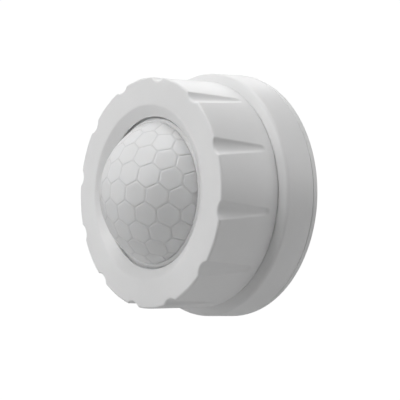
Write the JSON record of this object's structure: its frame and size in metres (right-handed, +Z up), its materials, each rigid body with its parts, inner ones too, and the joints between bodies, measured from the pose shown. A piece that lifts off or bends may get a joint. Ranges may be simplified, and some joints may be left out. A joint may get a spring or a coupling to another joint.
{
  "type": "motion sensor",
  "caption": "Round surface-mounted passive infrared motion sensor: a hexagon-faceted lens dome held by a fluted twist-off collar on a stepped round base.",
  "frame": {"origin": "centre of the rear mounting face", "axes": "+Y out of the rear mounting face into the wall or ceiling plate, the lens looks along -Y, +Z up and +X to the right as seen from in front of the lens"},
  "size_m": [0.087, 0.0517, 0.087],
  "materials": {
    "enclosure_plastic": "satin, fine moulded texture",
    "collar_plastic": "satin, fine moulded texture",
    "lens_plastic": "satin, slightly translucent",
    "seal_rubber": "matt",
    "steel": "zinc plated",
    "tin_lead": "bright tin",
    "brass": "satin",
    "gold_contact": "bright",
    "circuit_board": "solder mask",
    "sensor_can": "bright nickel",
    "sensor_window": "polished filter",
    "daylight_cell": "clear coat over a dark track",
    "lamp_red": "tinted, translucent",
    "trimmer_blue": "moulded",
    "rotor_ivory": "moulded",
    "chip_black": "moulded",
    "chip_ceramic": "sintered",
    "relay_case": "moulded",
    "film_case": "moulded",
    "can_sleeve": "shrink sleeve over an aluminium can",
    "varistor_coat": "dipped epoxy",
    "fuse_body": "glazed",
    "ferrite": "sintered",
    "copper_winding": "enamelled copper wire",
    "terminal_plastic": "moulded"
  },
  "bodies": {
    "base": {"back_plate": "enclosure_plastic", "mount_gasket": "seal_rubber", "cable_grommet": "seal_rubber", "base_seal": "seal_rubber", "housing": "enclosure_plastic", "housing_screws": "steel", "lens_dome": "lens_plastic", "lens_gasket": "seal_rubber", "sensor_board": "circuit_board", "pir_can": "sensor_can", "pir_window": "sensor_window", "pir_leads": "gold_contact", "daylight_sensor": "daylight_cell", "indicator_led": "lamp_red", "optical_sensor_leads": "tin_lead", "trimmer_bodies": "trimmer_blue", "microcontroller": "chip_black", "chip_components": "chip_ceramic", "board_standoffs": "brass", "board_screws": "steel", "header_body": "chip_black", "header_socket": "chip_black", "header_pins": "gold_contact", "power_board": "circuit_board", "relay": "relay_case", "film_capacitor": "film_case", "electrolytic_capacitor": "can_sleeve", "varistor": "varistor_coat", "fuse": "fuse_body", "fuse_caps": "tin_lead", "bridge_rectifier": "chip_black", "choke_core": "ferrite", "choke_winding": "copper_winding", "power_leads": "tin_lead", "terminal_block": "terminal_plastic", "terminal_contacts": "brass"},
    "collar": {"locking_collar": "collar_plastic"},
    "range_adjuster": {"range_trimmer": "rotor_ivory"},
    "time_adjuster": {"time_trimmer": "rotor_ivory"},
    "daylight_adjuster": {"daylight_trimmer": "rotor_ivory"},
    "clamp_screw_1": {"terminal_screw_1": "steel"},
    "clamp_cage_1": {"terminal_cage_1": "steel"},
    "clamp_screw_2": {"terminal_screw_2": "steel"},
    "clamp_cage_2": {"terminal_cage_2": "steel"},
    "clamp_screw_3": {"terminal_screw_3": "steel"},
    "clamp_cage_3": {"terminal_cage_3": "steel"}
  },
  "joints": [
    {"name": "collar_twist", "type": "hinge", "parent": "base", "child": "collar", "pos_m": [0, -0.027, 0], "axis": [0, -1, 0], "range_deg": [0, 45]},
    {"name": "range_adjust", "type": "hinge", "parent": "base", "child": "range_adjuster", "pos_m": [-0.00901, -0.0249, -0.01442], "axis": [0, -1, 0], "range_deg": [-135, 135]},
    {"name": "time_adjust", "type": "hinge", "parent": "base", "child": "time_adjuster", "pos_m": [0, -0.0249, -0.017], "axis": [0, -1, 0], "range_deg": [-135, 135]},
    {"name": "daylight_adjust", "type": "hinge", "parent": "base", "child": "daylight_adjuster", "pos_m": [0.00901, -0.0249, -0.01442], "axis": [0, -1, 0], "range_deg": [-135, 135]},
    {"name": "clamp_screw_1_turn", "type": "hinge", "parent": "base", "child": "clamp_screw_1", "pos_m": [-0.00508, -0.005, -0.0212], "axis": [0, -1, 0], "range_deg": [0, 1440]},
    {"name": "clamp_cage_1_rise", "type": "slide", "parent": "base", "child": "clamp_cage_1", "axis": [0, 1, 0], "range_m": [0, 0.0018]},
    {"name": "clamp_screw_2_turn", "type": "hinge", "parent": "base", "child": "clamp_screw_2", "pos_m": [0, -0.005, -0.0212], "axis": [0, -1, 0], "range_deg": [0, 1440]},
    {"name": "clamp_cage_2_rise", "type": "slide", "parent": "base", "child": "clamp_cage_2", "axis": [0, 1, 0], "range_m": [0, 0.0018]},
    {"name": "clamp_screw_3_turn", "type": "hinge", "parent": "base", "child": "clamp_screw_3", "pos_m": [0.00508, -0.005, -0.0212], "axis": [0, -1, 0], "range_deg": [0, 1440]},
    {"name": "clamp_cage_3_rise", "type": "slide", "parent": "base", "child": "clamp_cage_3", "axis": [0, 1, 0], "range_m": [0, 0.0018]}
  ],
  "couplings": [
    {"joint": "clamp_screw_1_turn", "follows": "clamp_cage_1_rise", "rad_per_m": 13963},
    {"joint": "clamp_screw_2_turn", "follows": "clamp_cage_2_rise", "rad_per_m": 13963},
    {"joint": "clamp_screw_3_turn", "follows": "clamp_cage_3_rise", "rad_per_m": 13963}
  ]
}
